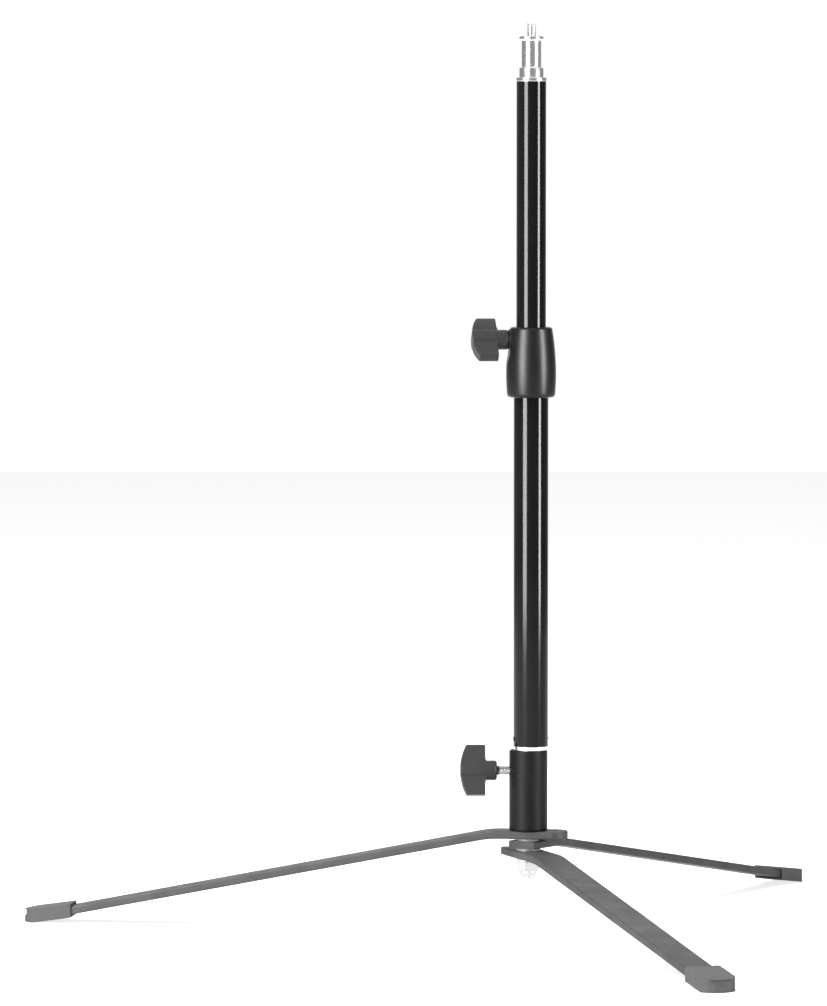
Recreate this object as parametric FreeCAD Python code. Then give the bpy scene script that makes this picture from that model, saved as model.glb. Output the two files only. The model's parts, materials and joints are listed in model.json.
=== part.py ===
import FreeCAD, Part
import math
import os

# A small folding floor stand, in millimetres, +Z up, standing on z = 0.
#
# Three flat bar legs are stacked on one pivot bolt under a round socket. A two-stage
# column plugs into the socket by a spigot and is held there by a wing knob. The upper
# tube slides in the lower tube, and a second wing knob in the locking collar clamps it.
# The column ends in a standard lighting stud with a threaded tip.
#
# The legs and the socket are built about the pivot's axis. The column stands a little
# beside it, because the clamp screw pushes the spigot against the far side of its bore.
# Only at the end is the stand moved so that the origin lies on the floor, under the
# middle of its bounding box.

V = FreeCAD.Vector
UP = V(0, 0, 1)

# ---- fits ----
running_gap = 0.08         # radial, between a shaft and the bore that turns or slides on it
free_gap = 0.3             # between pieces that pass each other and never touch
glue_gap = 0.05            # radial, between the collar and what is glued into it

# ---- legs ----
bar_width = 19.0
bar_thickness = 5.0
bar_edge = 0.8             # rounding of the bar's long edges
top_leg_height = 64.0      # upper face of the topmost leg at the pivot
leg_reach = 297.2          # from the pivot's axis to the back of the foot
leg_flat = {"left": 25.4, "right": 25.4, "front": 37.0}    # from the pivot's axis to the bend
bend_radius = 60.0         # on the inside of the bend
leg_azimuth = {"left": 172.0, "right": 55.8, "front": -70.25}
leg_tail = {"left": 16.0, "right": 8.2, "front": 24.7}
tail_hole_radius = 3.0     # in the left leg's rounded tail
spacer_radius = 7.5
rivet_wall = 0.9

# ---- pivot ----
bolt_radius = 4.0
bolt_head_radius = 6.5
bolt_head_height = 5.0
bolt_tip = 2.0             # what stands out below the nut
bolt_chamfer = 0.8
bolt_hex_radius = 3.5      # of the key's socket in the bolt's head, over its corners
washer_radius = 7.7
washer_thickness = 1.4     # nylon, between the legs
plain_washer_radius = 8.0
plain_washer_thickness = 1.8
nut_across_flats = 13.0
nut_height = 9.2
nut_hex_height = 6.2
nut_turn = 15.0            # how far its flats are turned from the axes, degrees
nut_dome = 1.4
nut_collar_wall = 1.9      # of the nut's round end, outside the bolt
nut_insert_height = 2.2
nut_insert_wall = 1.0
nut_insert_depth = 0.3     # below the nut's lower end

# ---- feet ----
foot_width = 22.4
foot_side = 25.0           # straight part of the foot's sides
foot_end = 31.8            # from the back of the foot to the middle of its round end
foot_cover = 2.0           # rubber above the bar at the back of the foot
foot_top_slope = 8.0       # degrees
foot_lift = 3.65           # underside of the foot above the floor at its back
foot_lift_length = 25.0    # over which the underside comes down to the floor
foot_edge = 1.2
bar_in_foot = 15.0
foot_back_height = 12.5    # top of the foot above the floor at its back

# ---- socket and spigot ----
spigot_radius = 15.875 / 2
socket_radius = 12.25
socket_height = 52.1
socket_floor = 5.0
socket_edge = 1.5
column_offset = 1.5        # from the pivot's axis to the column's, away from the knob
spigot_above_bolt = 2.5
spigot_chamfer = 1.0
ring_thickness = 2.3
plug_length = 15.0         # of the spigot inside the lower tube
pin_radius = 1.6
pin_height = 4.8           # of the pin's axis above the lower tube's end
pin_proud = 0.5
pin_edge = 0.4
pin_swivel = 17.0          # how far the pin's near end lies to the front of -X, degrees

# ---- tubes ----
lower_tube_radius = 22.225 / 2
upper_tube_radius = 19.05 / 2
tube_wall = 1.2
lower_tube_length = 252.0
upper_tube_length = 243.0
upper_tube_top = 544.1
guide_length = 12.0
guide_stub = 8.0
guide_wall = 2.5           # between its bore and the upper tube's bore

# ---- locking collar ----
collar_height = 44.8
collar_seat = 28.0         # how far the lower tube goes into the collar
collar_lip = 3.0
collar_top_radius = 13.4
collar_belly_radius = 16.0
collar_foot_radius = 15.2
collar_belly_height = 15.0
collar_edge = 1.8
spot_radius = 12.0         # flat turned into the collar's side around the knob
spot_face = 14.3
boss_radius = 6.6
boss_face = 14.6
insert_radius = 4.5
insert_inset = 0.4         # of the insert's outer end in the boss
insert_depth = 1.2         # by which it bites into the wall beside the bush

# ---- top stud ----
stud_cap_radius = 10.0
stud_cap_height = 2.5
stud_radius = 15.875 / 2
stud_band_height = 6.5
stud_waist_radius = 6.5
stud_waist_height = 17.3
stud_flange_height = 2.5
stud_plug_length = 20.0
stud_chamfer = 0.8
tip_radius = 6.35 / 2
tip_height = 7.9
tip_chamfer = 0.7

# ---- wing knobs ----
screw_radius = 3.0
screw_in_knob = 12.0
knob_hub_radius = 6.35
knob_hub_length = 7.5
knob_hub_edge = 1.3
wing_length = 33.2
wing_depth = 16.2          # along the screw, at the middle
wing_end_depth = 12.2      # and at the tips
wing_middle = 11.0         # thickness on the screw's axis
wing_tip = 7.0
wing_rib = 6.4             # width of the flat band across the middle
wing_edge = 0.8
pad_length = 2.5
pad_clearance = 0.02       # between a pad's hollow face and the shaft it bears on
base_knob_below_top = 13.5     # screw axis below the socket's rim
base_knob_distance = 20.2      # from the pivot's axis to the knob's hub
collar_knob_below_top = 8.0
collar_knob_distance = 14.7    # from the column's axis to the knob's hub
base_knob_turn = 16.0          # how far its wings lean back from upright, degrees
collar_knob_turn = 40.0
collar_swivel = 5.5            # how far the collar's knob points to the front of -X, degrees

# ---- heights worked out from the sizes above ----
stack_pitch = bar_thickness + washer_thickness
leg_top = {
    "left": top_leg_height,
    "right": top_leg_height - stack_pitch,
    "front": top_leg_height - 2 * stack_pitch,
}
socket_top = top_leg_height + socket_height
bolt_head_base = top_leg_height + socket_floor
spigot_base = bolt_head_base + bolt_head_height + spigot_above_bolt
tube_base = socket_top + ring_thickness
lower_tube_top = tube_base + lower_tube_length
collar_base = lower_tube_top - collar_seat
collar_top = collar_base + collar_height
upper_tube_base = upper_tube_top - upper_tube_length
lower_bore = lower_tube_radius - tube_wall
upper_bore = upper_tube_radius - tube_wall
washer_base = leg_top["front"] - bar_thickness - plain_washer_thickness
nut_base = washer_base - nut_height
bolt_end = nut_base - bolt_tip
base_knob_height = socket_top - base_knob_below_top
collar_knob_height = collar_top - collar_knob_below_top

parts = {}


def disc(radius, low, high, x=0.0):
    """An upright cylinder between two heights, on the axis or beside it."""
    return Part.makeCylinder(radius, high - low, V(x, 0, low))


def tube(outer, inner, low, high):
    """An upright tube about the column's axis."""
    return disc(outer, low, high).cut(disc(inner, low, high))


def turned(outline):
    """A solid of revolution about Z from (radius, height) corners."""
    corners = [V(r, 0, z) for r, z in outline]
    face = Part.Face(Part.makePolygon(corners + corners[:1]))
    return face.revolve(V(0, 0, 0), UP, 360)


def hexagon(radius, turn, height):
    """A level hexagonal face about the pivot's axis, turned by an angle in degrees."""
    angles = [math.radians(60 * corner + turn) for corner in range(7)]
    return Part.Face(Part.makePolygon(
        [V(radius * math.cos(a), radius * math.sin(a), height) for a in angles]))


def edges_where(shape, test):
    """The edges of a shape whose midpoint, bounding box or curve passes a test."""
    return [edge for edge in shape.Edges if test(edge)]


def is_level(edge, height):
    """True for an edge that lies in one horizontal plane."""
    box = edge.BoundBox
    return abs(box.ZMin - height) < 0.01 and abs(box.ZMax - height) < 0.01


def outward(shape, height):
    """Stands a piece built along +Z on the column's axis out to -X at a height."""
    shape.rotate(V(0, 0, 0), V(0, 1, 0), -90)
    shape.translate(V(0, 0, height))
    return shape


def aimed(shape, side):
    """Turns a leg's piece, built along +X, to that leg's azimuth."""
    shape.rotate(V(0, 0, 0), UP, leg_azimuth[side])
    return shape


# ---- legs and feet ----
def leg_slope(side):
    """The angle at which a leg comes down to its foot, in radians."""
    drop = leg_top[side] - (foot_back_height - foot_cover)
    return math.atan2(drop, leg_reach - leg_flat[side])


def bar_side(side):
    """The side view of a leg bar, as a face in the XZ plane."""
    slope = leg_slope(side)
    top = leg_top[side]
    start = -leg_tail[side] - (bar_width / 2 if side == "left" else 0)
    down = V(math.cos(slope), 0, -math.sin(slope))
    under = V(-math.sin(slope), 0, -math.cos(slope)) * bar_thickness
    length = (leg_reach + bar_in_foot - leg_flat[side]) / math.cos(slope)

    def bent(corner, radius, first, last):
        """Two runs that meet at a corner, joined by a tangent arc."""
        reach = radius * math.tan(slope / 2)
        before = corner - V(reach, 0, 0)
        after = corner + down * reach
        half = slope / 2
        middle = before + V(radius * math.sin(half), 0, radius * (math.cos(half) - 1))
        return [
            Part.LineSegment(first, before).toShape(),
            Part.Arc(before, middle, after).toShape(),
            Part.LineSegment(after, last).toShape(),
        ]

    upper_corner = V(leg_flat[side], 0, top)
    lower_corner = upper_corner - V(bar_thickness * math.tan(slope / 2), 0, bar_thickness)
    upper_end = upper_corner + down * length
    lower_end = upper_end + under
    upper_start = V(start, 0, top)
    lower_start = V(start, 0, top - bar_thickness)
    edges = bent(upper_corner, bend_radius + bar_thickness, upper_start, upper_end)
    edges.append(Part.LineSegment(upper_end, lower_end).toShape())
    edges += bent(lower_corner, bend_radius, lower_start, lower_end)
    edges.append(Part.LineSegment(lower_start, upper_start).toShape())
    return Part.Face(Part.Wire(Part.sortEdges(edges)[0]))


def leg_bar(side):
    """One flat leg, bent down past the pivot, with its bolt hole."""
    half = bar_width / 2
    bar = bar_side(side).extrude(V(0, bar_width, 0))
    bar.translate(V(0, -half, 0))
    if side == "left":
        bar = bar.cut(tail_corners())
    long_edges = edges_where(bar, lambda edge: runs_along(edge, half))
    bar = bar.makeFillet(bar_edge, long_edges)
    top = leg_top[side]
    bar = bar.cut(disc(bolt_radius + running_gap, top - bar_thickness, top))
    if side == "left":
        hole = disc(tail_hole_radius, top - bar_thickness, top, -leg_tail[side])
        bar = bar.cut(hole)
    return bar


def runs_along(edge, half):
    """True for the bar's long edges, which lie in one of its two side planes."""
    box = edge.BoundBox
    flat = abs(box.YMin - box.YMax) < 0.01 and abs(abs(box.YMin) - half) < 0.01
    return flat and box.XLength > 1.0


def tail_corners():
    """What is cut away to round the left leg's tail about its hole."""
    half = bar_width / 2
    centre = -leg_tail["left"]
    low = top_leg_height - bar_thickness
    block = Part.makeBox(bar_width, bar_width, bar_thickness, V(centre - bar_width, -half, low))
    return block.cut(disc(half, low, top_leg_height, centre))


def foot_plan():
    """The foot seen from above: straight sides and a round outer end."""
    half = foot_width / 2
    back = leg_reach
    corner = V(back + foot_side, half, 0)
    edges = [
        Part.LineSegment(V(back, -half, 0), V(corner.x, -half, 0)).toShape(),
        Part.Arc(V(corner.x, -half, 0), V(back + foot_end, 0, 0), corner).toShape(),
        Part.LineSegment(corner, V(back, half, 0)).toShape(),
        Part.LineSegment(V(back, half, 0), V(back, -half, 0)).toShape(),
    ]
    return Part.Face(Part.Wire(edges))


def foot(side, bar):
    """The rubber boot on a leg's end. It grips the bar and lies flat on the floor."""
    tilt = math.radians(foot_top_slope)
    far = foot_end + 1
    half = foot_width / 2 + 1
    outline = [
        V(leg_reach, -half, foot_back_height),
        V(leg_reach + far, -half, foot_back_height - far * math.tan(tilt)),
        V(leg_reach + far, -half, 0),
        V(leg_reach + foot_lift_length, -half, 0),
        V(leg_reach, -half, foot_lift),
    ]
    slab = Part.Face(Part.makePolygon(outline + outline[:1])).extrude(V(0, 2 * half, 0))
    boot = foot_plan().extrude(V(0, 0, foot_back_height)).common(slab)
    roof = edges_where(boot, lambda edge: on_roof(edge, tilt))
    boot = boot.makeFillet(foot_edge, roof)
    return boot.cut(bar)


def on_roof(edge, tilt):
    """True for the rim of the foot's top, without the edge across its back."""
    spots = [vertex.Point for vertex in edge.Vertexes] + [edge.CenterOfMass]
    off = [spot.z - foot_back_height + (spot.x - leg_reach) * math.tan(tilt) for spot in spots]
    across_back = edge.BoundBox.XMax - leg_reach < 0.01
    return max(abs(value) for value in off[:-1]) < 0.01 and not across_back


for side in leg_azimuth:
    bar = leg_bar(side)
    parts["foot_" + side] = aimed(foot(side, bar), side)
    parts["leg_" + side] = aimed(bar, side)

# The left leg's tail stands on a round spacer, which slides over the leg below.
spacer_top = top_leg_height - bar_thickness
spacer_base = spacer_top - washer_thickness + free_gap
spacer_hole = disc(tail_hole_radius, spacer_base, spacer_top, -leg_tail["left"])
spacer = disc(spacer_radius, spacer_base, spacer_top, -leg_tail["left"]).cut(spacer_hole)
parts["tail_spacer"] = aimed(spacer, "left")

rivet_top = top_leg_height - free_gap
rivet_bore = disc(tail_hole_radius - rivet_wall, spacer_base, rivet_top, -leg_tail["left"])
rivet = disc(tail_hole_radius, spacer_base, rivet_top, -leg_tail["left"]).cut(rivet_bore)
parts["tail_rivet"] = aimed(rivet, "left")

# ---- pivot ----
head = disc(bolt_head_radius, bolt_head_base, bolt_head_base + bolt_head_height)
key_base = bolt_head_base + bolt_head_height / 2
head = head.cut(hexagon(bolt_hex_radius, 0, key_base).extrude(V(0, 0, bolt_head_height)))
shank = disc(bolt_radius, bolt_end, bolt_head_base)
shank = shank.makeChamfer(
    bolt_chamfer, edges_where(shank, lambda edge: is_level(edge, bolt_end)))
parts["pivot_bolt"] = head.fuse(shank)

for name, side in (("upper_washer", "left"), ("lower_washer", "right")):
    seat = leg_top[side] - bar_thickness
    parts[name] = tube(washer_radius, bolt_radius, seat - washer_thickness, seat)

parts["flat_washer"] = tube(
    plain_washer_radius, bolt_radius, washer_base, washer_base + plain_washer_thickness)

flat_radius = nut_across_flats / 2
corner_radius = flat_radius / math.cos(math.radians(30))
hex_base = washer_base - nut_hex_height
nut = hexagon(corner_radius, nut_turn, hex_base).extrude(V(0, 0, nut_hex_height))
nut_bevel = corner_radius - flat_radius
nut = nut.common(turned([
    (0, hex_base), (flat_radius, hex_base),
    (corner_radius, hex_base + nut_bevel), (corner_radius, washer_base - nut_bevel),
    (flat_radius, washer_base), (0, washer_base)]))
nut = nut.fuse(disc(bolt_radius + nut_collar_wall, nut_base, hex_base))
nut = nut.makeFillet(nut_dome, edges_where(nut, lambda edge: is_level(edge, nut_base)))
insert_base = nut_base + nut_insert_depth
insert_top = insert_base + nut_insert_height
insert_outer = bolt_radius + nut_insert_wall
nut = nut.cut(disc(bolt_radius, nut_base, washer_base))
nut = nut.cut(disc(insert_outer, insert_base, insert_top))
parts["lock_nut"] = nut
parts["nut_insert"] = tube(insert_outer, bolt_radius, insert_base, insert_top)

# ---- base socket ----
socket = disc(socket_radius, top_leg_height, socket_top)
socket = socket.makeFillet(socket_edge, edges_where(
    socket, lambda e: is_level(e, top_leg_height) or is_level(e, socket_top)))
socket_bore = spigot_radius + column_offset + running_gap
socket = socket.cut(disc(socket_bore, bolt_head_base, socket_top))
socket = socket.cut(disc(bolt_radius, top_leg_height, bolt_head_base))
screw_hole = outward(disc(screw_radius + running_gap, 0, socket_radius), base_knob_height)
parts["base_socket"] = socket.cut(screw_hole)

# ---- column: ring, spigot, cross pin and lower tube ----
parts["column_ring"] = tube(
    lower_tube_radius, spigot_radius + running_gap, socket_top, tube_base)

spigot = disc(spigot_radius, spigot_base, tube_base)
spigot = spigot.makeChamfer(spigot_chamfer, edges_where(spigot, lambda e: is_level(e, spigot_base)))
spigot = spigot.fuse(disc(lower_bore, tube_base, tube_base + plug_length))
lower_tube = tube(lower_tube_radius, lower_bore, tube_base, lower_tube_top)
pin_reach = lower_tube_radius + pin_proud
cross_pin = Part.makeCylinder(pin_radius, 2 * pin_reach, V(-pin_reach, 0, 0), V(1, 0, 0))
cross_pin = cross_pin.makeFillet(
    pin_edge, edges_where(cross_pin, lambda e: e.BoundBox.XLength < 0.01))
cross_pin.rotate(V(0, 0, 0), UP, pin_swivel)
cross_pin.translate(V(0, 0, tube_base + pin_height))
parts["column_spigot"] = spigot.cut(cross_pin)
parts["lower_tube"] = lower_tube.cut(cross_pin)
parts["cross_pin"] = cross_pin


# ---- locking collar ----
def collar_body():
    """The barrel outline of the collar, turned, with its side flat and knob boss."""
    low = V(collar_foot_radius, 0, collar_base)
    belly = V(collar_belly_radius, 0, collar_base + collar_belly_height)
    high = V(collar_top_radius, 0, collar_top)
    edges = [
        Part.Arc(low, belly, high).toShape(),
        Part.LineSegment(high, V(0, 0, collar_top)).toShape(),
        Part.LineSegment(V(0, 0, collar_top), V(0, 0, collar_base)).toShape(),
        Part.LineSegment(V(0, 0, collar_base), low).toShape(),
    ]
    body = Part.Face(Part.Wire(edges)).revolve(V(0, 0, 0), UP, 360)
    body = body.makeFillet(collar_edge, edges_where(
        body, lambda e: is_level(e, collar_base) or is_level(e, collar_top)))
    flat = outward(disc(spot_radius, spot_face, 2 * spot_face), collar_knob_height)
    boss = outward(disc(boss_radius, upper_tube_radius, boss_face), collar_knob_height)
    return body.cut(flat).fuse(boss)


bush_outer = lower_tube_radius
bush_top = collar_top - collar_lip
insert_outer_end = boss_face - insert_inset
collar = collar_body()
collar = collar.cut(disc(bush_outer + glue_gap, collar_base, bush_top))
collar = collar.cut(disc(upper_tube_radius + free_gap, bush_top, collar_top))
insert = disc(insert_radius, bush_outer - insert_depth, insert_outer_end)
insert_bore = disc(screw_radius + running_gap, 0, 2 * boss_face)
insert_seat = outward(insert.copy(), collar_knob_height)
insert_hole = outward(insert_bore.copy(), collar_knob_height)
bush_core = disc(bush_outer, collar_base, collar_top)
collar_insert = insert_seat.cut(insert_hole).cut(bush_core)
parts["lock_collar"] = collar.cut(insert_hole).cut(insert_seat)
parts["collar_insert"] = collar_insert
bush = tube(bush_outer, upper_tube_radius + running_gap, lower_tube_top, bush_top)
parts["collar_bush"] = bush.cut(insert_hole)

# ---- upper tube, its guide bush and the top stud ----
parts["upper_tube"] = tube(upper_tube_radius, upper_bore, upper_tube_base, upper_tube_top)
guide_base = upper_tube_base - guide_length
guide = disc(lower_bore - running_gap, guide_base, upper_tube_base)
guide = guide.fuse(disc(upper_bore - running_gap, upper_tube_base, upper_tube_base + guide_stub))
guide_bore = upper_bore - guide_wall
parts["guide_bush"] = guide.cut(disc(guide_bore, guide_base, upper_tube_base + guide_stub))

cap_top = upper_tube_top + stud_cap_height
band_top = cap_top + stud_band_height
waist_top = band_top + stud_waist_height
flange_top = waist_top + stud_flange_height
tip_top = flange_top + tip_height
parts["top_stud"] = turned([
    (0, upper_tube_top - stud_plug_length),
    (upper_bore, upper_tube_top - stud_plug_length),
    (upper_bore, upper_tube_top),
    (stud_cap_radius, upper_tube_top),
    (stud_cap_radius, cap_top),
    (stud_radius, cap_top),
    (stud_radius, band_top - stud_chamfer),
    (stud_radius - stud_chamfer, band_top),
    (stud_waist_radius, band_top),
    (stud_waist_radius, waist_top),
    (stud_radius - stud_chamfer / 2, waist_top),
    (stud_radius, waist_top + stud_chamfer / 2),
    (stud_radius, flange_top),
    (tip_radius, flange_top),
    (tip_radius, tip_top - tip_chamfer),
    (tip_radius - tip_chamfer, tip_top),
    (0, tip_top),
])


# ---- wing knobs ----
def knob(distance, turn):
    """A wing knob on its screw's axis: a round hub and two tapering wings."""
    hub_end = distance + knob_hub_length
    hub = disc(knob_hub_radius, distance, hub_end)
    hub = hub.makeFillet(knob_hub_edge, edges_where(hub, lambda e: is_level(e, distance)))
    half = wing_length / 2
    tip = hub_end + wing_end_depth
    side_view = [
        Part.LineSegment(V(-half, 0, hub_end), V(half, 0, hub_end)).toShape(),
        Part.LineSegment(V(half, 0, hub_end), V(half, 0, tip)).toShape(),
        Part.Arc(V(half, 0, tip), V(0, 0, hub_end + wing_depth), V(-half, 0, tip)).toShape(),
        Part.LineSegment(V(-half, 0, tip), V(-half, 0, hub_end)).toShape(),
    ]
    wing = Part.Face(Part.Wire(side_view)).extrude(V(0, wing_middle, 0))
    wing.translate(V(0, -wing_middle / 2, 0))
    rib = wing_rib / 2
    thick = wing_middle / 2
    thin = wing_tip / 2
    plan = [
        V(-half, -thin, 0), V(-rib, -thick, 0), V(rib, -thick, 0), V(half, -thin, 0),
        V(half, thin, 0), V(rib, thick, 0), V(-rib, thick, 0), V(-half, thin, 0)]
    plan_face = Part.Face(Part.makePolygon(plan + plan[:1]))
    wing = wing.common(plan_face.extrude(V(0, 0, hub_end + 2 * wing_depth)))
    wing = wing.makeFillet(wing_edge, wing.Edges)
    body = hub.fuse(wing)
    body = body.cut(disc(screw_radius, distance, distance + screw_in_knob))
    body.rotate(V(0, 0, 0), UP, turn)
    return body


def clamp(prefix, distance, height, turn, shaft_radius, shaft_offset):
    """A wing knob, its screw and the nylon pad that bears on a round shaft."""
    parts[prefix + "_knob"] = outward(knob(distance, turn), height)
    pad_end = shaft_radius - shaft_offset + pad_length
    screw = disc(screw_radius, pad_end, distance + screw_in_knob)
    parts[prefix + "_knob_screw"] = outward(screw, height)
    pad = outward(disc(screw_radius, 0, pad_end), height)
    low = height - 2 * screw_radius
    high = height + 2 * screw_radius
    shaft = disc(shaft_radius + pad_clearance, low, high, shaft_offset)
    parts[prefix + "_clamp_pad"] = pad.cut(shaft)


clamp("base", base_knob_distance, base_knob_height, base_knob_turn, spigot_radius, column_offset)
clamp("collar", collar_knob_distance, collar_knob_height, collar_knob_turn, upper_tube_radius, 0)

# ---- turn the collar, and stand the column beside the pivot's axis ----
for name in (
        "lock_collar", "collar_bush", "collar_insert",
        "collar_knob", "collar_knob_screw", "collar_clamp_pad"):
    parts[name].rotate(V(0, 0, 0), UP, collar_swivel)
for name in (
        "column_ring", "column_spigot", "cross_pin", "lower_tube", "lock_collar",
        "collar_bush", "collar_insert", "collar_knob", "collar_knob_screw",
        "collar_clamp_pad", "guide_bush", "upper_tube", "top_stud"):
    parts[name].translate(V(column_offset, 0, 0))

# ---- place the origin and write the pieces ----
box = Part.makeCompound(list(parts.values())).BoundBox
centre = V(box.Center.x, box.Center.y, 0)
os.makedirs("parts", exist_ok=True)
for name, shape in parts.items():
    shape.translate(-centre)
    shape.exportStep("parts/" + name + ".step")
print("pivot axis at", round(-centre.x, 3), round(-centre.y, 3), "height", round(box.ZMax, 2))
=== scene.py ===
# %% [markdown]
# A small folding floor stand for a lamp.
#
# Three flat steel legs are stacked on one bolt under a round socket. A column of two
# black tubes plugs into the socket, and a chrome stud on top takes the lamp. The packed
# model already holds every piece at its real size. This lesson gives each piece its
# finish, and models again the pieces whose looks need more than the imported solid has:
# the wing knobs, the locking collar, the rubber feet and the threads.

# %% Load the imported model
import json
import math

import bmesh
import bpy
from mathutils import Matrix, Vector


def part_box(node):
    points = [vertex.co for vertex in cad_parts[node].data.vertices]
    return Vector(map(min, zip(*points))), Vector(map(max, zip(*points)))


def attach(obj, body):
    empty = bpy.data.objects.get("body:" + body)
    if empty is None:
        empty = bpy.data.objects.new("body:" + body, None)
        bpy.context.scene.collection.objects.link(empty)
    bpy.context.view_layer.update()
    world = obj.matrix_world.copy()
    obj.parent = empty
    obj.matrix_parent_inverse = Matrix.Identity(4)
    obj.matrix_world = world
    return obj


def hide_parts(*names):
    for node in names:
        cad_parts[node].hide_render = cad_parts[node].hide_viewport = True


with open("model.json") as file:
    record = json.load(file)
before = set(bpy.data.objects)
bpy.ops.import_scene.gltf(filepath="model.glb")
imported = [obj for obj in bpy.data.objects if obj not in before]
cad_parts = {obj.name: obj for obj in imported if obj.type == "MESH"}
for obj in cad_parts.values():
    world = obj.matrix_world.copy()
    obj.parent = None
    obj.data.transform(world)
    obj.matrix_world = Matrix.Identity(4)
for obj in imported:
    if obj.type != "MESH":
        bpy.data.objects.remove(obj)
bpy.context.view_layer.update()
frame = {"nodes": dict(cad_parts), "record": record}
nodes = frame["nodes"]
slot_of = {row["node"]: row["material_slot"] for row in frame["record"]["subparts"]}
print("pieces in the packed model:", len(nodes))

# %% [markdown]
# Blender works in metres here, and a stand is easier to think of in millimetres. So
# lengths are written as a number times MM. Two upright axes place everything: the
# pivot's, about which the legs fold, and the column's, which stands a little beside it
# because the clamp screw pushes the spigot across its bore. Both are read from the
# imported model.

# %% Units and the two axes
MM = 0.001


def axis_of(name):
    """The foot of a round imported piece's upright axis, on the floor."""
    low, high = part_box(name)
    middle = (low + high) / 2
    middle.z = 0.0
    return middle


column = axis_of("lower_tube")
pivot = axis_of("base_socket")
print("the pivot stands at", [round(v / MM, 1) for v in pivot[:2]], "mm,",
      "the column", round((column.x - pivot.x) / MM, 2), "mm beside it")

# %% [markdown]
# ## Finishes
#
# A finish is a small tree of shader nodes. The nodes could be placed and linked one by
# one, but then the arithmetic is hard to read. So one class wraps a socket and lets
# Python's own operators add the Math nodes, and another class holds a material and
# makes any other node from its type, its settings and its inputs.


# %% Shader arithmetic
class Wire:
    """The output of a shader node. Arithmetic on it adds Math nodes."""

    def __init__(self, finish, socket):
        self.finish = finish
        self.socket = socket

    def math(self, operation, first, second):
        return self.finish.node("ShaderNodeMath", {"operation": operation}, {0: first, 1: second})

    def __add__(self, other):
        return self.math("ADD", self, other)

    def __sub__(self, other):
        return self.math("SUBTRACT", self, other)

    def __rsub__(self, other):
        return self.math("SUBTRACT", other, self)

    def __mul__(self, other):
        return self.math("MULTIPLY", self, other)

    __radd__ = __add__
    __rmul__ = __mul__


class Finish:
    """A material under construction, with its Principled shader."""

    def __init__(self, name, **constants):
        self.material = bpy.data.materials.new(name)
        self.material.use_nodes = True
        self.tree = self.material.node_tree
        self.shader = self.tree.nodes["Principled BSDF"]
        for socket, value in constants.items():
            self.shader.inputs[socket.replace("_", " ")].default_value = value

    def node(self, kind, settings, sockets, output=0):
        """Adds a node: its settings first, then the values or wires of its sockets."""
        made = self.tree.nodes.new(kind)
        for name, value in settings.items():
            if name == "stops":
                self.set_stops(made.color_ramp, value)
            else:
                setattr(made, name, value)
        for name, value in sockets.items():
            self.feed(made.inputs[name], value)
        return Wire(self, made.outputs[output])

    def set_stops(self, ramp, stops):
        """Gives a ramp its (position, grey) stops."""
        while len(ramp.elements) < len(stops):
            ramp.elements.new(0.5)
        for element, (position, grey) in zip(ramp.elements, stops):
            element.position = position
            element.color = (grey, grey, grey, 1.0)

    def feed(self, socket, value):
        """Links a wire to a socket, or sets the socket to a plain value."""
        if isinstance(value, Wire):
            self.tree.links.new(value.socket, socket)
        else:
            socket.default_value = value

    def place(self, scale=(1.0, 1.0, 1.0)):
        """The point being shaded, in metres, stretched along the axes by scale."""
        point = self.node("ShaderNodeTexCoord", {}, {}, output=3)
        return self.node("ShaderNodeMapping", {}, {"Vector": point, "Scale": scale})

    def noise(self, size, detail=2.0, stretch=(1.0, 1.0, 1.0)):
        """Soft noise with features of about the given size in metres."""
        return self.node("ShaderNodeTexNoise", {}, {
            "Vector": self.place(stretch), "Scale": 1.0 / size, "Detail": detail})

    def ramp(self, wire, *stops):
        """Bends a value through (position, value) stops."""
        return self.node("ShaderNodeValToRGB", {"stops": stops}, {"Fac": wire})

    def blend(self, factor, first, second):
        """A colour between two colours."""
        return self.node("ShaderNodeMix", {"data_type": "RGBA"}, {
            0: factor, 6: first, 7: second}, output=2)

    def bump(self, height, depth, strength=1.0):
        """Tilts the surface by a height pattern that is depth metres deep."""
        wire = self.node("ShaderNodeBump", {}, {
            "Height": height, "Distance": depth, "Strength": strength})
        self.feed(self.shader.inputs["Normal"], wire)

    def vary(self, socket, wire):
        """Drives one of the shader's sockets."""
        self.feed(self.shader.inputs[socket], wire)


def grey(value, tint=0.0):
    """A near-neutral colour; tint above 0 is cooler."""
    return (value, value, value * (1.0 + tint), 1.0)


# %% [markdown]
# The tubes are steel with a glossy black lacquer. Gloss black is nearly all
# reflection: the base is almost nothing, and the eye reads the bright strips of the
# studio's lamps. Fine dust and wiping marks, stretched along the tube, break the
# reflection a little, so roughness gets a faint streaky noise.


# %% Black lacquer of the tubes
def tube_black():
    finish = Finish("tube_black", IOR=1.30)
    streaks = finish.noise(1.2 * MM, 3.0, (1.0, 1.0, 0.04))
    cloud = finish.noise(25 * MM)
    finish.vary("Base Color", finish.blend(cloud, grey(0.008), grey(0.015, 0.06)))
    finish.vary("Roughness", 0.07 + streaks * 0.05 + cloud * 0.03)
    finish.bump(finish.noise(4 * MM, 1.0), 0.01 * MM, 0.25)
    return finish.material


# %% [markdown]
# The socket is painted satin black. It shows the same lamps as the tubes, but wide
# and dim, with a few dust specks. The specks are the peaks of a fine noise.


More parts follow.
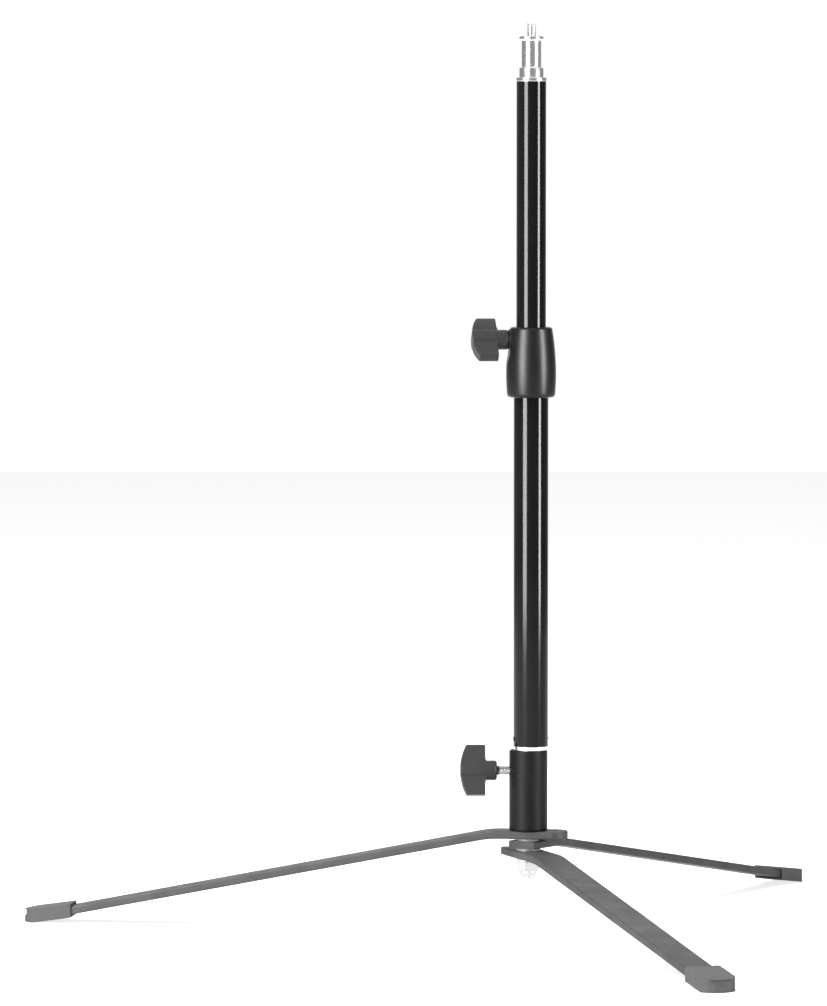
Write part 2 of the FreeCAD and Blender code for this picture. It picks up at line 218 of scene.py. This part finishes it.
# %% Satin paint of the socket
def socket_paint():
    finish = Finish("socket_paint", IOR=1.22)
    specks = finish.ramp(finish.noise(1.6 * MM, 2.0), (0.70, 0.0), (0.76, 1.0))
    cloud = finish.noise(14 * MM, 3.0)
    paint = finish.blend(cloud, grey(0.008), grey(0.014))
    finish.vary("Base Color", finish.blend(specks * 0.35, paint, grey(0.25)))
    finish.vary("Roughness", 0.40 + cloud * 0.14)
    finish.bump(finish.noise(0.7 * MM, 2.0), 0.03 * MM, 0.35)
    return finish.material


# %% [markdown]
# The legs have a dark grey powder coat: a fine orange-peel grain, a little lighter
# where it has been rubbed. A fine noise makes the grain as bump, and a larger one
# clouds the colour and the gloss.


# %% Powder coat of the legs
def leg_coat():
    finish = Finish("leg_coat", IOR=1.42)
    grain = finish.noise(0.9 * MM, 3.0)
    patches = finish.noise(18 * MM, 4.0)
    rubbed = finish.ramp(patches, (0.42, 0.0), (0.68, 1.0))
    coat = finish.blend(grain, grey(0.055), grey(0.085))
    finish.vary("Base Color", finish.blend(rubbed * 0.5, coat, grey(0.12)))
    finish.vary("Roughness", 0.50 + grain * 0.12 - rubbed * 0.06)
    finish.bump(grain, 0.12 * MM, 0.5)
    return finish.material


# %% [markdown]
# Chrome plate is a mirror. Only faint smears keep it from looking like a drawing, so
# its roughness moves a little with a soft noise, and the colour stays constant.


# %% Chrome and zinc-plated steel
def chrome():
    finish = Finish("chrome", Metallic=1.0, Base_Color=grey(0.82, 0.01))
    finish.vary("Roughness", 0.13 + finish.noise(6 * MM, 3.0) * 0.08)
    return finish.material


def steel():
    finish = Finish("steel", Metallic=1.0)
    cloud = finish.noise(3 * MM, 4.0)
    finish.vary("Base Color", finish.blend(cloud, grey(0.50), grey(0.68, 0.02)))
    finish.vary("Roughness", 0.16 + cloud * 0.14)
    finish.bump(finish.noise(0.5 * MM, 2.0), 0.02 * MM, 0.3)
    return finish.material


# %% [markdown]
# The knobs and the collar are moulded plastic. A mould leaves a very fine spark-eroded
# grain, and handling polishes parts of it. The collar is smoother than the knobs.


# %% Moulded plastics
def knob_plastic():
    finish = Finish("knob_plastic", IOR=1.38)
    grain = finish.noise(0.45 * MM, 2.0)
    worn = finish.noise(7 * MM, 3.0)
    finish.vary("Base Color", finish.blend(worn, grey(0.030), grey(0.046)))
    finish.vary("Roughness", 0.42 + grain * 0.10 - worn * 0.08)
    finish.bump(grain, 0.06 * MM, 0.4)
    return finish.material


def collar_plastic():
    finish = Finish("collar_plastic", IOR=1.315)
    grain = finish.noise(0.5 * MM, 2.0)
    worn = finish.noise(11 * MM, 3.0)
    finish.vary("Base Color", finish.blend(worn, grey(0.010), grey(0.017)))
    finish.vary("Roughness", 0.27 + grain * 0.06 + worn * 0.06)
    finish.bump(grain, 0.04 * MM, 0.3)
    return finish.material


def white_nylon():
    finish = Finish("white_nylon", IOR=1.53)
    dirt = finish.noise(3 * MM, 3.0)
    finish.vary("Base Color", finish.blend(dirt, grey(0.88), (0.80, 0.79, 0.76, 1.0)))
    finish.vary("Roughness", 0.34 + dirt * 0.15)
    return finish.material


def foot_rubber():
    finish = Finish("foot_rubber", IOR=1.48)
    grain = finish.noise(0.8 * MM, 3.0)
    dust = finish.noise(9 * MM, 4.0)
    rubber = finish.blend(dust, grey(0.085), grey(0.14))
    finish.vary("Base Color", finish.blend(grain * 0.4, rubber, grey(0.17)))
    finish.vary("Roughness", 0.62 + dust * 0.18)
    finish.bump(grain, 0.10 * MM, 0.45)
    return finish.material


def brass():
    finish = Finish("brass", Metallic=1.0)
    cloud = finish.noise(2 * MM, 3.0)
    finish.vary("Base Color", finish.blend(
        cloud, (0.62, 0.45, 0.20, 1.0), (0.78, 0.60, 0.30, 1.0)))
    finish.vary("Roughness", 0.22 + cloud * 0.12)
    return finish.material


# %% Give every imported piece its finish
makers = (tube_black, socket_paint, leg_coat, chrome, steel, knob_plastic,
          collar_plastic, white_nylon, foot_rubber, brass)
finishes = {maker.__name__: maker() for maker in makers}
for name, piece in nodes.items():
    piece.data.materials.clear()
    piece.data.materials.append(finishes[slot_of[name]])
print("finishes:", ", ".join(finishes))

# %% [markdown]
# ## Modelled pieces
#
# Each of these pieces is drawn in millimetres in a frame of its own, where its axis is
# easy to work with, and then moved to its place on the stand. Turned pieces come from an
# outline that is spun about Z. The outline's corners carry their own rounding, so every
# edge catches a line of light as a real edge does.


# %% Drawing helpers
SHARP = math.radians(34)


def rounded(corners, closed=True):
    """Outline points from (x, y, radius) corners, each rounded by its radius."""
    points = []
    for index, (x, y, radius) in enumerate(corners):
        corner = Vector((x, y))
        if radius == 0:
            points.append(corner)
            continue
        before = (Vector(corners[index - 1][:2]) - corner).normalized()
        after = (Vector(corners[(index + 1) % len(corners)][:2]) - corner).normalized()
        half = before.angle(after) / 2
        middle = corner + (before + after).normalized() * (radius / math.sin(half))
        first = corner + before * (radius / math.tan(half)) - middle
        last = corner + after * (radius / math.tan(half)) - middle
        for step in range(5):
            points.append(middle + first.lerp(last, step / 4).normalized() * radius)
    return points


def spin_outline(bm, corners, steps=96):
    """Spins (radius, height, rounding) corners about Z. On-axis ends stay open."""
    verts = [bm.verts.new((point.x, 0.0, point.y)) for point in rounded(corners)]
    edges = [bm.edges.new(pair) for pair in zip(verts, verts[1:])]
    if corners[0][0] > 0:
        edges.append(bm.edges.new((verts[-1], verts[0])))
    bmesh.ops.spin(bm, geom=verts + edges, cent=(0, 0, 0), axis=(0, 0, 1),
                   angle=2 * math.pi, steps=steps, use_merge=True)
    bmesh.ops.remove_doubles(bm, verts=bm.verts, dist=0.001)


def wind_thread(bm, radius, depth, pitch, low, high, chamfer):
    """Winds a right-handed ridge about Z, cut down to a chamfer at its upper end."""
    root = radius - depth - 0.08
    section = [(root, -0.45), (radius, -0.07), (radius, 0.07), (root, 0.45)]
    verts = [bm.verts.new((r, 0.0, low + pitch * share)) for r, share in section]
    face = bm.faces.new(verts)
    around = 36
    steps = int((high - low) / pitch * around)
    made = bmesh.ops.spin(bm, geom=verts + list(face.edges) + [face], cent=(0, 0, 0),
                          axis=(0, 0, 1), dvec=(0, 0, pitch / around),
                          angle=2 * math.pi * steps / around, steps=steps)
    for vert in bm.verts:
        out = math.hypot(vert.co.x, vert.co.y)
        allowed = radius - max(0.0, vert.co.z - (high - chamfer))
        if out > max(allowed, root) and vert.co.z > high - chamfer - pitch:
            vert.co.x *= max(allowed, root) / out
            vert.co.y *= max(allowed, root) / out
    return made


def settle(bm, name, place, body, slot_name, *stands_for):
    """Moves a drawn shape to its place and makes it a piece of the stand."""
    bmesh.ops.recalc_face_normals(bm, faces=bm.faces)
    bmesh.ops.transform(bm, matrix=place @ Matrix.Scale(MM, 4), verts=bm.verts)
    for face in bm.faces:
        face.smooth = True
    for edge in bm.edges:
        edge.smooth = edge.is_manifold and edge.calc_face_angle() < SHARP
    mesh = bpy.data.meshes.new(name)
    bm.to_mesh(mesh)
    bm.free()
    mesh.materials.append(finishes[slot_name])
    piece = bpy.data.objects.new(name, mesh)
    bpy.context.scene.collection.objects.link(piece)
    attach(piece, body)
    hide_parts(*stands_for)
    return piece


def soften(piece, width, segments=3):
    """Rounds a piece's crisp edges, and keeps its flats flat in the light."""
    bevel = piece.modifiers.new("soft_edges", "BEVEL")
    bevel.width = width * MM
    bevel.segments = segments
    bevel.limit_method = "ANGLE"
    bevel.angle_limit = math.radians(30)
    bevel.harden_normals = True
    for edge in piece.data.edges:
        edge.use_edge_sharp = False


def slice_across(bm, places, axis):
    """Cuts a shape by planes across an axis, so that it can be bent there."""
    normal = Vector((0.0, 0.0, 0.0))
    normal[axis] = 1.0
    for place in places:
        bmesh.ops.bisect_plane(bm, geom=bm.verts[:] + bm.edges[:] + bm.faces[:],
                               plane_co=normal * place, plane_no=normal)


def shoulder(value, low, high):
    """Rises smoothly from 0 at low to 1 at high."""
    share = min(1.0, max(0.0, (value - low) / (high - low)))
    return share * share * (3 - 2 * share)


# %% [markdown]
# ### Wing knobs
#
# Both knobs are the same moulding: a round hub and two wings that get thinner towards
# their tips and bend a little in an S, with a raised band across the middle. A knob is
# drawn with its screw along +Z and its wings along X. Then it is stood out from its axis and turned.
#
# The screws are M6. A drawn thread shows between the lower knob and the socket.

# %% Wing knobs and their screws
hub_radius, hub_length = 6.35, 7.4
wing_half, wing_depth, wing_tip_depth = 16.6, 16.2, 12.2
band_half, wing_bend = 3.2, 2.2


def wing_thickness(across):
    """Half the wing's thickness at a distance from the screw's axis."""
    if across <= band_half:
        return 5.5
    if across <= band_half + 1.0:
        return 5.5 - 0.9 * (across - band_half)
    return 4.6 - 1.2 * (across - band_half - 1.0) / (wing_half - band_half - 1.0)


def stand_out(axis, height, swivel, distance):
    """The frame of a knob: Z out along its screw, X up, starting at its hub's face."""
    upright = Matrix.Rotation(math.radians(swivel), 4, "Z") @ Matrix.Rotation(
        math.radians(-90), 4, "Y")
    place = Matrix.Translation(axis + Vector((0.0, 0.0, height)))
    return place @ upright @ Matrix.Translation((0.0, 0.0, distance * MM))


def wings(turn):
    """The two wings with their band, turned about the screw by an angle in degrees."""
    bm = bmesh.new()
    bmesh.ops.create_cube(bm, size=1.0, matrix=Matrix.Diagonal((2 * wing_half, 1, 1, 1)))
    cuts = [band_half, band_half + 1.0, 6.0, 7.5, 9.0, 11.0, 13.0, 15.0]
    slice_across(bm, [0.0] + cuts + [-cut for cut in cuts], 0)
    for vert in bm.verts:
        across = abs(vert.co.x)
        outer = wing_depth - (wing_depth - wing_tip_depth) * (across / wing_half) ** 2
        root = -0.5 * max(0.0, 1 - max(0.0, across - 6.0) / 3.0) ** 2
        vert.co.z = hub_length + (outer if vert.co.z > 0 else root)
        bend = wing_bend * (vert.co.x / wing_half) ** 3
        vert.co.y = math.copysign(wing_thickness(across), vert.co.y) + bend
    bmesh.ops.rotate(bm, matrix=Matrix.Rotation(math.radians(turn), 3, "Z"), verts=bm.verts)
    return bm


def hub():
    """The hub, with the small neck that the screw comes out of."""
    bm = bmesh.new()
    spin_outline(bm, [
        (2.3, -1.2, 0), (3.0, -1.2, 0.25), (3.0, 0.3, 0), (4.4, 0.0, 0.2),
        (hub_radius, 0.0, 1.4), (hub_radius, hub_length + 1.0, 0), (2.3, hub_length + 1.0, 0)])
    return bm


def knob_screw(length):
    """The M6 screw from its tip, which is length below the hub, into the hub."""
    bm = bmesh.new()
    spin_outline(bm, [(0, -length, 0), (1.9, -length, 0), (2.5, -length + 0.6, 0),
                      (2.5, 8.0, 0), (0, 8.0, 0)], steps=48)
    wind_thread(bm, 3.0, 0.55, 1.0, -length + 0.9, 1.0, 0.0)
    return bm


def place_knob(name, axis, swivel, turn, distance, body, shaft):
    """Puts a whole knob on its screw's axis: wings, hub and screw."""
    low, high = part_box(name)
    frame_of_knob = stand_out(axis, (low.z + high.z) / 2, swivel, distance)
    moulding = settle(wings(turn), name + "_wings", frame_of_knob, body, "knob_plastic", name)
    soften(moulding, 0.9)
    settle(hub(), name + "_hub", frame_of_knob, body, "knob_plastic")
    settle(knob_screw(distance - shaft), name + "_thread", frame_of_knob, body, "steel",
           name + "_screw")


place_knob("base_knob", pivot, 0.0, 16.0, 20.2, "base_wing_knob", 8.94)
place_knob("collar_knob", column, 5.5, 40.0, 14.7, "collar_wing_knob", 12.03)

# %% [markdown]
# ### Locking collar
#
# The collar is a barrel, fullest low down. Its side is relieved around the screw, and
# the relief runs out smoothly into the barrel. So the barrel is spun first, with rows
# close together, and then every point near the screw is held back to the relief.

# %% Locking collar
collar_low, collar_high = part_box("lock_collar")
collar_height = (collar_high.z - collar_low.z) / MM
screw_height = collar_height - 8.0
foot_radius, belly_radius, top_radius, belly_height = 15.2, 16.0, 13.4, 15.0
bore_low, bore_high, lip = 11.17, 9.83, 3.0


def barrel_radius(height):
    """The collar's radius: a circle through its foot, its belly and its top."""
    share = (height - belly_height) / (collar_height - belly_height)
    if height < belly_height:
        share = (belly_height - height) / belly_height
        return belly_radius - (belly_radius - foot_radius) * share * share
    return belly_radius - (belly_radius - top_radius) * share ** 1.9


bm = bmesh.new()
rows = [collar_height * step / 44 for step in range(45)]
outline = [(bore_low, 0.0, 0.3), (barrel_radius(0.0), 0.0, 1.9)]
outline += [(barrel_radius(row), row, 0) for row in rows[3:-2]]
outline += [(top_radius, collar_height, 1.6), (bore_high, collar_height, 0.3),
            (bore_high, collar_height - lip, 0), (bore_low, collar_height - lip, 0)]
spin_outline(bm, outline, steps=160)
for vert in bm.verts:
    out = math.hypot(vert.co.x, vert.co.y)
    if out < 12.0 or vert.co.x > 0:
        continue
    away = math.hypot(vert.co.y, vert.co.z - screw_height)
    relief = 14.2 + 2.2 * shoulder(away, 9.5, 18.0)
    vert.co.x = max(vert.co.x, -relief)
collar_frame = Matrix.Translation(column + Vector((0, 0, collar_low.z))) @ Matrix.Rotation(
    math.radians(5.5), 4, "Z")
settle(bm, "collar_shell", collar_frame, "column", "collar_plastic", "lock_collar")

bm = bmesh.new()
spin_outline(bm, [(4.55, 0.0, 0), (6.6, 0.0, 0), (6.6, 4.3, 0.5), (4.55, 4.3, 0.15)])
boss_frame = stand_out(column, collar_low.z + screw_height * MM, 5.5, 10.3)
settle(bm, "collar_boss", boss_frame, "column", "collar_plastic")

# %% [markdown]
# ### Rubber feet
#
# A foot is a boot over the end of a bar. Its outline from above is straight sides and a
# round end. Its top falls a little less steeply than the bars, its underside rises
# towards the back, and there is a thumb-sized dent under the rim of the round end. The
# back has a pocket that is larger than the bar, so a dark gap shows around the bar.

# %% Rubber feet
foot_half, foot_side, foot_end = 11.2, 25.0, 31.8
foot_back, foot_lift, foot_reach = 12.5, 3.65, 297.2
foot_fall = math.tan(math.radians(8.0))
bar_half, bar_top, bar_bottom = 9.5, 10.5, 5.42
azimuths = {"left": 172.0, "right": 55.8, "front": -70.25}


def foot_outline():
    """Corners of the foot seen from above, from its back left to its back right."""
    bulge = foot_end - foot_side
    radius = (foot_half ** 2 + bulge ** 2) / (2 * bulge)
    middle = foot_end - radius
    span = math.asin(foot_half / radius)
    arc = [(middle + radius * math.cos(span * step / 14),
            radius * math.sin(span * step / 14)) for step in range(-14, 15)]
    return [(0.0, -foot_half)] + arc + [(0.0, foot_half)]


def underside(x):
    """Height of the foot's underside above the floor."""
    return foot_lift * max(0.0, 1.0 - x / foot_side)


def boot():
    """The boot, lying along X with its back at X = 0."""
    bm = bmesh.new()
    face = bm.faces.new([bm.verts.new((x, y, 0.0)) for x, y in foot_outline()])
    raised = bmesh.ops.extrude_face_region(bm, geom=[face])
    bmesh.ops.translate(bm, vec=(0, 0, 1.0), verts=[
        item for item in raised["geom"] if isinstance(item, bmesh.types.BMVert)])
    slice_across(bm, [2.0, 4.0, 7.0, 10.0, 14.0, 18.0, 22.0], 0)
    slice_across(bm, [-bar_half - 0.7, bar_half + 0.7], 1)
    floor_of_pocket = (bar_bottom - 0.7 - foot_lift) / (foot_back - foot_lift)
    roof_of_pocket = (bar_top + 0.5 - foot_lift) / (foot_back - foot_lift)
    slice_across(bm, [0.12, floor_of_pocket, 0.45, 0.6, 0.7, roof_of_pocket, 0.92], 2)
    for vert in bm.verts:
        low = underside(vert.co.x)
        high = foot_back - vert.co.x * foot_fall
        share = vert.co.z
        vert.co.z = low + (high - low) * share
        if vert.co.x > foot_side - 2 and 0.1 < share < 0.999:
            wide = max(0.0, 1 - (vert.co.y / 7.2) ** 2)
            tall = max(0.0, 1 - ((share - 0.78) / 0.34) ** 2)
            vert.co.x -= 1.9 * wide * tall
    pocket = [face for face in bm.faces
              if abs(face.calc_center_median().x) < 0.01
              and abs(face.calc_center_median().y) < bar_half + 0.7
              and bar_bottom - 0.8 < face.calc_center_median().z < bar_top + 0.6]
    sunk = bmesh.ops.extrude_face_region(bm, geom=pocket)
    bmesh.ops.translate(bm, vec=(3.5, 0, -0.6), verts=[
        item for item in sunk["geom"] if isinstance(item, bmesh.types.BMVert)])
    bmesh.ops.delete(bm, geom=pocket, context="FACES")
    return bm


for side, azimuth in azimuths.items():
    frame_of_foot = (Matrix.Translation(pivot)
                     @ Matrix.Rotation(math.radians(azimuth), 4, "Z")
                     @ Matrix.Translation((foot_reach * MM, 0, 0)))
    rubber = settle(boot(), "boot_" + side, frame_of_foot, side + "_leg",
                    "foot_rubber", "foot_" + side)
    soften(rubber, 1.1)

# %% [markdown]
# ### Lighting stud
#
# The stud is turned from one bar and plated: a cap that closes the tube, a band, a
# waist for the lamp's clamping screw, a flange, and a 1/4 in-20 thread on the tip.

# %% Lighting stud
stud_low, stud_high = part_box("top_stud")
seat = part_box("upper_tube")[1].z
bm = bmesh.new()
spin_outline(bm, [
    (0, -20.0, 0), (8.2, -20.0, 0.3), (8.2, 0.0, 0), (9.95, 0.0, 0.35), (9.95, 2.5, 0.6),
    (8.2, 2.5, 0.15), (7.94, 2.9, 0.1), (7.94, 8.3, 0.35), (7.2, 9.0, 0.1),
    (6.4, 9.3, 0.3), (6.4, 26.0, 0.3), (7.2, 26.3, 0.1), (7.94, 26.9, 0.2),
    (7.94, 28.3, 0.35), (7.4, 28.8, 0.1), (2.7, 28.8, 0.1), (2.5, 29.6, 0),
    (2.5, 36.0, 0), (1.9, 36.65, 0.1), (0, 36.7, 0)])
wind_thread(bm, 3.175, 0.66, 1.27, 29.5, 36.6, 0.8)
settle(bm, "stud", Matrix.Translation(column + Vector((0, 0, seat))), "upper_stage",
       "chrome", "top_stud")

# %% [markdown]
# ## Stage, lamps and camera
#
# The stand is shown as in a catalogue: on a pale floor in front of a white backdrop.
# Two tall soft lamps, one on each side of the camera, draw the two bright strips down
# the tubes. They are seen by glossy surfaces only, so that their strength can follow
# the strips, while a large soft lamp overhead and the world light the colours.

# %% Floor
floor_mesh = bpy.data.meshes.new("floor")
bm = bmesh.new()
bmesh.ops.create_grid(bm, x_segments=1, y_segments=1, size=5.0)
bm.to_mesh(floor_mesh)
bm.free()
floor = bpy.data.objects.new("floor", floor_mesh)
bpy.context.scene.collection.objects.link(floor)
paper = Finish("paper", Base_Color=grey(0.84), Roughness=0.9)
path = paper.node("ShaderNodeLightPath", {}, {})
glossy = Wire(paper, path.socket.node.outputs["Is Glossy Ray"])
clear = Wire(paper, path.socket.node.outputs["Is Transmission Ray"])
seen = path.math("MAXIMUM", path, path.math("MAXIMUM", glossy, clear))
paper.vary("Emission Color", paper.blend(seen, grey(0.0), grey(1.0)))
paper.shader.inputs["Emission Strength"].default_value = 0.78
paper.shader.inputs["Specular IOR Level"].default_value = 0.0
floor_mesh.materials.append(paper.material)

# %% World
world = bpy.data.worlds.new("studio")
world.use_nodes = True
bpy.context.scene.world = world
tree = world.node_tree
background = tree.nodes["Background"]
rays = tree.nodes.new("ShaderNodeLightPath")
seen = tree.nodes.new("ShaderNodeMath")
seen.operation = "MAXIMUM"
tree.links.new(rays.outputs["Is Camera Ray"], seen.inputs[0])
either = tree.nodes.new("ShaderNodeMath")
either.operation = "MAXIMUM"
tree.links.new(rays.outputs["Is Glossy Ray"], either.inputs[0])
tree.links.new(rays.outputs["Is Transmission Ray"], either.inputs[1])
tree.links.new(either.outputs[0], seen.inputs[1])
level = tree.nodes.new("ShaderNodeMapRange")
level.inputs["To Min"].default_value = 0.14
level.inputs["To Max"].default_value = 1.0
tree.links.new(seen.outputs[0], level.inputs["Value"])
background.inputs["Color"].default_value = (1.0, 1.0, 1.0, 1.0)
tree.links.new(level.outputs[0], background.inputs["Strength"])


# %% Lamps
def soft_lamp(name, place, aim, size, power, diffuse, glossy):
    """A rectangular lamp that looks at a point."""
    lamp = bpy.data.lights.new(name, "AREA")
    lamp.shape = "RECTANGLE"
    lamp.size, lamp.size_y = size
    lamp.energy = power
    holder = bpy.data.objects.new(name, lamp)
    bpy.context.scene.collection.objects.link(holder)
    holder.location = place
    holder.rotation_euler = (Vector(aim) - Vector(place)).to_track_quat("-Z", "Y").to_euler()
    holder.visible_camera = False
    holder.visible_diffuse = diffuse
    holder.visible_glossy = glossy
    return holder


def beside(angle, distance, height):
    """A place round the column: angle in degrees from the camera, to the right."""
    turn = math.radians(angle)
    return column + Vector((math.sin(turn) * distance, -math.cos(turn) * distance, height))


middle = column + Vector((0.0, 0.0, 0.3))
lamp_height, lamp_tall = 0.735, 1.33
facing = column + Vector((0.0, 0.0, lamp_height))
soft_lamp("lamp_over", column + Vector((-1.2, -0.5, 2.2)), middle, (2.0, 2.0), 78.0, True, False)
soft_lamp("lamp_left", beside(-42, 1.6, lamp_height), facing, (0.72, lamp_tall), 84.0, False, True)
soft_lamp("lamp_right", beside(60, 1.6, lamp_height), facing, (0.40, lamp_tall), 62.0, False, True)
soft_lamp("fill_front", beside(-20, 3.0, 0.9), middle, (2.0, 2.0), 12.0, True, False)

# %% [markdown]
# Round the lamps the room is dim, and only the backdrop behind the stand is white. A
# dark grey screen, bent round the stand and open at the back, stands for that. It is seen
# in reflections only. It keeps the tubes black to their edges, and draws the grey bands
# in the chrome.

# %% Dim screen
screen_radius, screen_gap = 2.4, 35.0
bm = bmesh.new()
bmesh.ops.create_circle(bm, cap_ends=False, segments=72, radius=screen_radius)
behind = [edge for edge in bm.edges
          if abs(math.atan2(*(edge.verts[0].co + edge.verts[1].co).xy)) < math.radians(screen_gap)]
bmesh.ops.delete(bm, geom=behind, context="EDGES")
raised = bmesh.ops.extrude_edge_only(bm, edges=bm.edges[:])
bmesh.ops.translate(bm, vec=(0, 0, 3.4), verts=[
    item for item in raised["geom"] if isinstance(item, bmesh.types.BMVert)])
bmesh.ops.translate(bm, vec=column + Vector((0, 0, 0.002)), verts=bm.verts)
screen_mesh = bpy.data.meshes.new("screen")
bm.to_mesh(screen_mesh)
bm.free()
dim = Finish("dim_cloth", Base_Color=grey(0.0), Roughness=1.0, Emission_Color=grey(1.0),
             Emission_Strength=0.3, Specular_IOR_Level=0.0)
screen_mesh.materials.append(dim.material)
screen = bpy.data.objects.new("screen", screen_mesh)
bpy.context.scene.collection.objects.link(screen)
for ray in ("camera", "diffuse", "shadow", "transmission", "volume_scatter"):
    setattr(screen, "visible_" + ray, False)

# %% [markdown]
# A long lens from 4.5 m away, tilted down by about four degrees, keeps the column
# upright and the legs nearly flat, as in a catalogue picture.

# %% Camera
camera_distance = 4.5
camera_height = 0.560
camera_left = 0.0737
tilt_down = math.radians(3.63)
lens = bpy.data.cameras.new("camera")
lens.lens = 252.0
lens.clip_end = 50.0
camera = bpy.data.objects.new("camera", lens)
bpy.context.scene.collection.objects.link(camera)
camera.location = pivot + Vector((-camera_left, -camera_distance, camera_height))
camera.rotation_euler = (math.pi / 2 - tilt_down, 0.0, 0.0)
bpy.context.scene.camera = camera
bpy.context.scene.view_settings.view_transform = "Standard"
